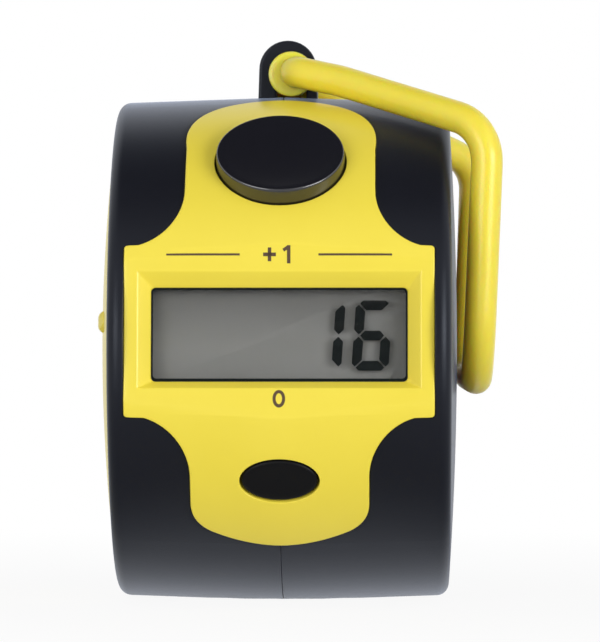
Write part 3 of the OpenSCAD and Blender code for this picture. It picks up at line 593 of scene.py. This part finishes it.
frame_low, frame_high = bezel_tilt + np.degrees(np.arcsin(np.array(frame_span) / drum_r))
frame_block = block(frame_low, frame_high, frame_share)
count_block = block(28.5, 62.5, count_share)
reset_block = block(-37.5, -21.0, reset_share)
patches = without_blocks(main, [frame_block, count_block, reset_block])
for side in (-1, 1):
    roll = []
    for a in np.radians(np.linspace(90, 0, 6)):
        inset = plate_round * (1 - math.cos(a))
        px = np.maximum(plate_x - plate_nx * inset, 0)
        pa = plate_angle - np.degrees(plate_ns * inset / drum_r)
        roll.append(on_drum(side * px, pa, plate_face(px, pa) - plate_round * (1 - math.sin(a))))
    roll.append(on_drum(side * plate_x, plate_angle, plate_face(plate_x, plate_angle) - plate_drop))
    patches.append(np.stack(roll, 1))

window_half = 14.05
window_lo = -5.46
window_hi = 4.84
window_round = 0.5


def round_rect(half_x, low, high, radius, steps=7):
    """Closed outline of a rectangle with round corners, as X and height across the display."""
    corner = np.repeat([[1, 1], [-1, 1], [-1, -1], [1, -1]], steps, axis=0)
    quarters = [np.linspace(start, start + 90, steps) for start in (0, 90, 180, 270)]
    turn = np.radians(np.concatenate(quarters))
    x = corner[:, 0] * (half_x - radius) + radius * np.cos(turn)
    w = np.where(corner[:, 1] > 0, high - radius, low + radius) + radius * np.sin(turn)
    return np.concatenate([np.stack([x, w], -1), [[x[0], w[0]]]])


def on_slant(x, w, out, at=bezel_tilt):
    """Point at X, w across a plane that faces an angle, a distance out from the drum's axis."""
    x, w, out = np.broadcast_arrays(x, w, out)
    a = math.radians(at)
    y = -out * math.cos(a) + w * math.sin(a)
    z = out * math.sin(a) + w * math.cos(a)
    return np.stack([x, y, z], -1)


frame_edge = rim_of(main, *frame_block)
tilt = math.radians(bezel_tilt)
frame_w = frame_edge[:, 1] * math.sin(tilt) + frame_edge[:, 2] * math.cos(tilt)
frame_size = np.array([frame_edge[:, 0].max(), frame_w.min(), frame_w.max()])
window_size = np.array([window_half, window_lo, window_hi])
slope = [(0, 0), (0.03, 0.008), (0.08, 0.04), (0.14, 0.1), (0.5, 0.6), (0.9, 1.17), (0.96, 1.26),
         (1, 1.36), (1, 2.15)]
loops = []
for share, depth in slope:
    ring = round_rect(*(frame_size + (window_size - frame_size) * share), window_round * share)
    loops.append(on_slant(ring[:, 0], ring[:, 1], bezel_h - depth))
patches.append(np.stack(loops, 1))
hole_round = 0.1
hole_depth = 1.9
count_at = 46.0
count_hole = (7.33, 6.5)
reset_at = -29.6
reset_hole = (4.42, 2.77)


def oval_hole(edge_block, at, half_x, half_h):
    """Surface between a block's edge and an oval opening, rolled over into the opening's wall."""
    ring_x = rim_of(face_x, *edge_block)
    ring_a = rim_of(face_angle, *edge_block)
    turn = np.arctan2((ring_a - at) / math.degrees(half_h / drum_r), ring_x / half_x)

    def oval(grow):
        """X and angle round the opening, grown by a distance."""
        w = (half_h + grow) * np.sin(turn)
        return (half_x + grow) * np.cos(turn), at + np.degrees(np.arcsin(w / drum_r))

    loops = []
    goal_x, goal_a = oval(hole_round)
    for f in np.linspace(0, 1, 6):
        px = ring_x + (goal_x - ring_x) * f
        pa = ring_a + (goal_a - ring_a) * f
        loops.append(on_drum(px, pa, plate_face(px, pa)))
    for a in np.radians(np.linspace(0, 90, 6)[1:]):
        px, pa = oval(hole_round * (1 - math.sin(a)))
        loops.append(on_drum(px, pa, plate_face(px, pa) - hole_round * (1 - math.cos(a))))
    px, pa = oval(0)
    loops.append(on_drum(px, pa, plate_face(px, pa) - hole_depth))
    return np.stack(loops, 1)


patches.append(oval_hole(count_block, count_at, *count_hole))
patches.append(oval_hole(reset_block, reset_at, *reset_hole))
plate = build("plate_skin", patches, sharp=50)
plate_yellow = plastic("plate_yellow", (0.9, 0.725, 0.055), (0.94, 0.77, 0.075),
                       rough=0.3, rough_spread=0.05, grain_size=2600, grain_depth=0.004)
plate.data.materials.append(plate_yellow)
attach(plate, "case")
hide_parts("face_plate")

# Print on the plate: two thin ruled lines with a plain count mark between them, and a zero
# over the reset button, all in dark brown ink that lies on the plastic.
ink_lift = 0.012
line_h = 8.43
line_width = 0.22
sign_x = 1.05
sign_width = 0.38
one_half = 0.92
zero_h = -7.5
fine_width = 0.34


def inked(points):
    """Grid of X and height across the display, laid on the plate's face just above it."""
    x, w = points[..., 0], points[..., 1]
    angle = bezel_tilt + np.degrees(np.arcsin(w / drum_r))
    return on_drum(x, angle, plate_face(x, angle) + ink_lift)


def stroke(path, width):
    """Strip of one width along a polyline, with mitred corners."""
    path = np.asarray(path, float)
    step = np.diff(path, axis=0)
    step /= np.linalg.norm(step, axis=1)[:, None]
    side = np.stack([-step[:, 1], step[:, 0]], -1)
    mean = np.concatenate([side[:1], (side[1:] + side[:-1]) / 2, side[-1:]])
    mean /= (mean**2).sum(1)[:, None]
    return np.stack([path + mean * width / 2, path, path - mean * width / 2], 1)


line_x = np.linspace(4.3, 12.35, 24)
marks = [stroke([(side * x, line_h) for x in line_x], line_width) for side in (-1, 1)]
plus = np.linspace(-0.7, 0.7, 8)
marks.append(stroke([(-sign_x + d, line_h) for d in plus], sign_width))
marks.append(stroke([(-sign_x, line_h + d) for d in plus], sign_width))
marks.append(stroke([(0.45, line_h + 0.42), (1.0, line_h + 0.75)], fine_width))
marks.append(stroke([(sign_x, line_h + d) for d in (one_half, 0, -one_half)], sign_width))
around = np.radians(np.linspace(0, 360, 49))
zero = np.stack([0.52 * np.cos(around), zero_h + 0.74 * np.sin(around)], -1)
marks.append(stroke(zero, fine_width))
ink = build("plate_print", [inked(m) for m in marks])
ink_brown = plastic("ink_brown", (0.07, 0.035, 0.012), (0.09, 0.045, 0.015),
                    rough=0.45, rough_spread=0.08, grain_size=3000, grain_depth=0.002)
ink.data.materials.append(ink_brown)
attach(ink, "case")

# Count button: a dished oval key of gloss black plastic that stands out of the plate's top
# and is pressed in along its own slanted axis. A flange behind the plate keeps it in.
count_flange = (7.98, 7.15)
count_wall = (7.2, 6.37)
count_foot = 24.85
count_top = 30.54
count_lean = -0.12
key_dark = (0.006, 0.006, 0.01)
key_light = (0.009, 0.009, 0.014)


def oval_stack(at, rings, around=97):
    """Ovals of half width, half height, distance out and shift up, stacked along a slanted axis."""
    t = np.radians(np.linspace(0, 360, around))
    grid = [on_slant(half_x * np.cos(t), shift + half_h * np.sin(t), out, at)
            for half_x, half_h, out, shift in rings]
    return np.stack(grid, 1)


def dished(half_x, half_h, top, dish, shift=0.0):
    """Rings of a dish that falls as the square of the radius towards its middle."""
    return [(half_x * f, half_h * f, top - dish * (1 - f * f), shift) for f in np.linspace(1, 0, 10)]


count_rings = [(0, 0, count_foot, 0), (*count_flange, count_foot, 0), (*count_flange, 26.0, 0),
               (*count_wall, 26.02, 0), (*count_wall, 28.2, 0), (7.1, 6.26, 30.2, -0.1),
               (7.07, 6.22, 30.42, -0.11), (7.02, 6.17, 30.5, count_lean)]
count_brim = (6.95, 6.09, 30.535, count_lean)
dish_rings = dished(6.85, 5.99, count_top, 0.45, count_lean)
count = build("count_key_skin", [oval_stack(count_at, count_rings + [count_brim])], sharp=40)
dish = build("count_key_dish", [oval_stack(count_at, [count_brim] + dish_rings)])
button_black = plastic("button_black", key_dark, key_light, rough=0.16, rough_spread=0.04,
                       grain_size=3400, grain_depth=0.0015, shine=0.8, index=1.65)
dish_black = plastic("dish_black", key_dark, key_light, rough=0.22, rough_spread=0.04,
                     grain_size=3400, grain_depth=0.0015, worn=(0.03, 0.03, 0.034), wear=0.1)
count.data.materials.append(button_black)
dish.data.materials.append(dish_black)
for piece in (count, dish):
    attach(piece, "count_key")
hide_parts("count_button")

# Reset button: a small flat oval of a duller black plastic, sunk level with the plate so that
# it is not pressed by mistake. A flange behind the plate keeps it in.
reset_flange = (5.0, 3.35)
reset_wall = (4.22, 2.57)
reset_foot = 25.53
reset_rings = [(0, 0, reset_foot, 0), (*reset_flange, reset_foot, 0), (*reset_flange, 26.45, 0),
               (*reset_wall, 26.47, 0), (*reset_wall, 28.7, 0), (4.18, 2.53, 28.88, 0),
               (4.08, 2.43, 29.02, 0), (3.92, 2.27, 29.08, 0)]
reset_rings += dished(3.7, 2.05, 29.09, 0.06)
reset = build("reset_key_skin", [oval_stack(reset_at, reset_rings)], sharp=40)
reset_black = plastic("reset_black", (0.003, 0.003, 0.004), (0.005, 0.005, 0.006),
                      rough=0.4, rough_spread=0.06, grain_size=3400, grain_depth=0.002,
                      worn=(0.05, 0.05, 0.055), wear=0.3, shine=0.12)
reset.data.materials.append(reset_black)
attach(reset, "reset_key")
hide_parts("reset_button")

# Display: a clear window, with a thin dark band laid round its edge, over two thin glasses, with
# the dark segments between them and a pearly grey reflector behind.
slope_depth = 1.3
border_lift = 0.012
border_gap = 0.01
border_side = 0.2
border_below = 0.34
border_above = 0.24
border_round = 0.4


def glass(name, tint, rough, index):
    """Clear glass or acrylic with a faint surface haze in its roughness."""
    material, nodes, links = new_material(name)
    skin = nodes.new("ShaderNodeGroup")
    skin.node_tree = grain
    skin.inputs["Size"].default_value = 900
    haze = ramp(nodes, links, skin.outputs["Mottle"], 0, 1, rough, rough + 0.006)
    shader = nodes.new("ShaderNodeBsdfPrincipled")
    shader.inputs["Base Color"].default_value = (*tint, 1)
    shader.inputs["Transmission Weight"].default_value = 1.0
    shader.inputs["IOR"].default_value = index
    links.new(haze, shader.inputs["Roughness"])
    path = nodes.new("ShaderNodeLightPath")
    through = combine(nodes, links, "MAXIMUM", path.outputs["Is Shadow Ray"],
                      path.outputs["Is Diffuse Ray"])
    clear = nodes.new("ShaderNodeBsdfTransparent")
    clear.inputs["Color"].default_value = (*tint, 1)
    look = mix_shaders(nodes, links, through, shader.outputs[0], clear.outputs[0])
    out = nodes.new("ShaderNodeOutputMaterial")
    links.new(look, out.inputs["Surface"])
    return material


def dress(material, *names):
    """Give the objects of some CAD nodes one material."""
    for name in names:
        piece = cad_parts[name]
        piece.data.materials.clear()
        piece.data.materials.append(material)


clear_window = glass("clear_window", (0.97, 0.98, 0.97), rough=0.002, index=1.45)
cell_glass = glass("cell_glass", (0.97, 0.975, 0.97), rough=0.002, index=1.03)
reflector_grey = plastic("reflector_grey", (0.245, 0.231, 0.232), (0.292, 0.275, 0.284),
                         rough=0.45, rough_spread=0.05, grain_size=5000, grain_depth=0.002)
segment_dark = plastic("segment_dark", (0.006, 0.009, 0.01), (0.01, 0.013, 0.014),
                       rough=0.4, rough_spread=0.03, grain_size=4000, grain_depth=0.001, shine=0.03)
# Thin dark band laid just over the window round its edge, wider below and above than at the sides.
border_outer = round_rect(window_half - border_gap, window_lo + border_gap, window_hi - border_gap,
                          window_round)
border_inner = round_rect(window_half - border_side, window_lo + border_below,
                          window_hi - border_above, border_round)
border_rings = [on_slant(ring[:, 0], ring[:, 1], bezel_h - slope_depth + border_lift)
                for ring in (border_outer, border_inner)]
border = build("window_border", [np.stack(border_rings, 1)])
border.data.materials.append(segment_dark)
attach(border, "case")
dress(clear_window, "window_lens")
dress(cell_glass, "lcd_front_glass", "lcd_rear_glass")
dress(reflector_grey, "lcd_reflector")
dress(segment_dark, "lcd_digits")

# Electronics: a green board with a resin-capped chip, a can crystal and small capacitors, a dark
# glass frame and a grey rubber connector, and two switches on boards of their own. The cell is
# steel, its contacts brass and the wires sheathed in plastic, and steel screws hold it together.
frame_dark = plastic("frame_dark", (0.02, 0.02, 0.024), (0.032, 0.032, 0.038),
                     rough=0.5, rough_spread=0.08, grain_size=3000, grain_depth=0.004,
                     worn=(0.08, 0.08, 0.09), wear=0.2)
strip_rubber = plastic("strip_rubber", (0.12, 0.125, 0.13), (0.18, 0.185, 0.19),
                       rough=0.7, rough_spread=0.06, grain_size=2400, grain_depth=0.006)
board_green = plastic("board_green", (0.015, 0.11, 0.03), (0.03, 0.17, 0.05),
                      rough=0.35, rough_spread=0.08, grain_size=1800, grain_depth=0.004,
                      worn=(0.3, 0.34, 0.16), wear=0.3)
chip_tan = plastic("chip_tan", (0.36, 0.22, 0.08), (0.48, 0.31, 0.12),
                   rough=0.4, rough_spread=0.06, grain_size=2500, grain_depth=0.002,
                   worn=(0.5, 0.4, 0.2), wear=0.2)
plunger_tan = plastic("plunger_tan", (0.5, 0.4, 0.22), (0.58, 0.47, 0.28),
                      rough=0.42, rough_spread=0.06, grain_size=2600, grain_depth=0.003,
                      worn=(0.65, 0.55, 0.35), wear=0.2)
lead_red = plastic("lead_red", (0.3, 0.03, 0.02), (0.4, 0.05, 0.035),
                   rough=0.5, rough_spread=0.06, grain_size=3000, grain_depth=0.003)
lead_grey = plastic("lead_grey", (0.04, 0.045, 0.05), (0.06, 0.065, 0.07),
                    rough=0.5, rough_spread=0.06, grain_size=3000, grain_depth=0.003)


def metal(name, dark, light, rough, lines, rough_spread=0.08):
    """Drawn or turned metal: streaks along one axis in colour and roughness."""
    material, nodes, links = new_material(name)
    coords = nodes.new("ShaderNodeTexCoord")
    stretch = nodes.new("ShaderNodeMapping")
    stretch.inputs["Scale"].default_value = lines
    links.new(coords.outputs["Object"], stretch.inputs["Vector"])
    noise = nodes.new("ShaderNodeTexNoise")
    noise.inputs["Scale"].default_value = 1.0
    noise.inputs["Detail"].default_value = 3
    links.new(stretch.outputs["Vector"], noise.inputs["Vector"])
    tone = nodes.new("ShaderNodeMix")
    tone.data_type = "RGBA"
    tone.inputs["A"].default_value = (*dark, 1)
    tone.inputs["B"].default_value = (*light, 1)
    links.new(noise.outputs["Fac"], tone.inputs["Factor"])
    gloss = ramp(nodes, links, noise.outputs["Fac"], 0, 1, rough - rough_spread,
                 rough + rough_spread)
    shader = nodes.new("ShaderNodeBsdfPrincipled")
    shader.inputs["Metallic"].default_value = 1.0
    links.new(tone.outputs["Result"], shader.inputs["Base Color"])
    links.new(gloss, shader.inputs["Roughness"])
    out = nodes.new("ShaderNodeOutputMaterial")
    links.new(shader.outputs[0], out.inputs["Surface"])
    return material


bright_metal = metal("bright_metal", (0.55, 0.56, 0.58), (0.68, 0.69, 0.71), rough=0.24,
                     lines=(400, 400, 3000))
screw_steel = metal("screw_steel", (0.45, 0.46, 0.48), (0.58, 0.59, 0.61), rough=0.34,
                    lines=(3000, 600, 600))
contact_brass = metal("contact_brass", (0.6, 0.41, 0.13), (0.72, 0.52, 0.2), rough=0.26,
                      lines=(600, 3000, 600))
dress(frame_dark, "lcd_frame", "count_switch_body", "reset_switch_body")
dress(board_green, "circuit_board", "count_board", "reset_board")
dress(plunger_tan, "count_switch_plunger", "reset_switch_plunger")
dress(strip_rubber, "zebra_strip")
dress(button_black, "chip_blob")
dress(chip_tan, "capacitors")
dress(bright_metal, "crystal", "battery_cell")
dress(screw_steel, "board_screws", "case_screws")
dress(contact_brass, "contact_positive", "contact_negative")
dress(lead_red, "battery_leads")
dress(lead_grey, "switch_leads")

# Battery cover: a thin domed yellow disc that locks into the left side with an eighth of
# a turn, and has a raised level grip rib a little above its middle.
cover_inner = 17.95
cover_rim = half_w + 0.15
cover_dome = 1.6
cover_round = 0.3
rib_up = 3.1
rib_half = 20.0
rib_half_w = 1.25
rib_rise = 0.55
rib_sink = 0.03


def cover_face(radius):
    """Distance out of the cover's face, which falls as the square of the radius."""
    return cover_rim + cover_dome * (1 - (radius / cover_r)**2)


profile = [(0, cover_inner), (24.0, cover_inner), (24.7, cover_inner), (cover_r, cover_inner + 0.15)]
profile += [(cover_r - cover_round * (1 - math.cos(a)), cover_rim - cover_round * (1 - math.sin(a)))
            for a in np.radians(np.linspace(0, 80, 5))]
profile += [(r, cover_face(r)) for r in np.linspace(24.5, 0, 16)]
spin = np.linspace(0, 360, 145)[:, None]
profile = np.array(profile)
cover_grid = on_drum(-profile[None, :, 1], spin, profile[None, :, 0])
along = np.linspace(-1, 1, 41)[:, None]
over = np.linspace(-1, 1, 15)[None, :]
past = np.clip((np.abs(along) * rib_half - (rib_half - rib_half_w)) / rib_half_w, 0, 1)
end = np.sqrt(1 - past**2)
rib_y = along * rib_half + 0 * over
rib_z = rib_up + over * rib_half_w * np.maximum(end, 0.02)
swell = rib_rise * np.clip(1.02 - np.abs(over)**4, 0, 1) * np.minimum(1, end * 2)
rib_x = cover_face(np.hypot(rib_y, rib_z)) + swell - rib_sink
rib_grid = np.stack([-rib_x, rib_y, rib_z], -1)
cover = build("cover_skin", [cover_grid, rib_grid], sharp=50)
cover.data.materials.append(plate_yellow)
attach(cover, "cover")
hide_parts("battery_cover")

# Finger loop: a bent bail of round yellow bar with a pin through the lug and a round flange
# on each side of it. Light goes a little way into its plastic, so its shaded side glows.
bar_r = 1.775
bar_gap = 0.3
hang_x = half_w + side_dome + bar_gap + bar_r
hang_low = -3.271
root_x = pivot_x + 0.55
root_h = pivot_h + 0.15
bends = [(root_x, -3.45, root_h, 0), (root_x, -5.8, root_h, 2.1), (pivot_x + 5.7, -8.4, 30.46, 16),
         (hang_x + 1.15, -18.85, 24.81, 5.2), (hang_x, -17.98, hang_low, 8),
         (hang_x - 0.3, 21.895, hang_low, 6), (hang_x + 0.5, 22.185, 22.185, 4.5),
         (pivot_x, 7.8, pivot_h, 2.1), (pivot_x, 5.45, pivot_h, 0)]


def rounded_route(bends, steps):
    """Route through bends of X, Y, height and radius, each an arc that touches both its runs."""
    points = []
    for i, (x, y, z, radius) in enumerate(bends):
        p = np.array([x, y, z])
        if radius == 0:
            points.append(p[None])
            continue
        before = np.array(bends[i - 1][:3]) - p
        after = np.array(bends[i + 1][:3]) - p
        before /= np.linalg.norm(before)
        after /= np.linalg.norm(after)
        half = math.acos(before @ after) / 2
        middle = p + (before + after) / np.linalg.norm(before + after) * radius / math.sin(half)
        start = p + before * radius / math.tan(half) - middle
        stop = p + after * radius / math.tan(half) - middle
        sweep = math.pi - 2 * half
        a = np.linspace(0, sweep, steps)[:, None]
        points.append(middle + (start * np.sin(sweep - a) + stop * np.sin(a)) / math.sin(sweep))
    return np.concatenate(points)


def round_bar(route, radius, around=33):
    """Circle carried along a route, with a side vector kept square to it that never twists."""
    heading = np.gradient(route, axis=0)
    heading /= np.linalg.norm(heading, axis=1)[:, None]
    side = np.cross(heading[0], [0, 0, 1])
    sides = []
    for h in heading:
        side = side - h * (h @ side)
        side = side / np.linalg.norm(side)
        sides.append(side)
    sides = np.array(sides)
    up = np.cross(heading, sides)
    a = np.linspace(0, 2 * math.pi, around)[None, :, None]
    return route[:, None] + radius * (sides[:, None] * np.cos(a) + up[:, None] * np.sin(a))


flange_round = 0.25
flange_slant = 0.07
pin_back = 5.4
pin_front = -4.0
pin_profile = [(0, pin_back)]
for bar_y, back, front, radius in [(6.25, 6.0, 4.7, 2.85), (-2.7, -2.7, pin_front, 2.59)]:
    pin_profile += [(bar_r, bar_y), (radius - flange_round, back),
                    (radius - flange_slant, back - flange_slant), (radius, back - flange_round),
                    (radius, front + flange_round), (radius - flange_slant, front + flange_slant),
                    (radius - flange_round, front), (bar_r, front)]
pin_profile.append((0, pin_front))
pin_profile = np.array(pin_profile)
turn = np.linspace(0, 2 * math.pi, 49)[:, None]
pin_grid = np.stack([pivot_x + pin_profile[:, 0] * np.cos(turn), pin_profile[:, 1] + 0 * turn,
                     pivot_h + pin_profile[:, 0] * np.sin(turn)], -1)
loop = build("loop_skin", [round_bar(rounded_route(bends, 14), bar_r), pin_grid], sharp=45)
loop_yellow = plastic("loop_yellow", (0.93, 0.745, 0.055), (0.97, 0.79, 0.075),
                      rough=0.3, rough_spread=0.05, grain_size=2600, grain_depth=0.004, glow=0.7)
loop.data.materials.append(loop_yellow)
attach(loop, "loop")
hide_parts("finger_loop")
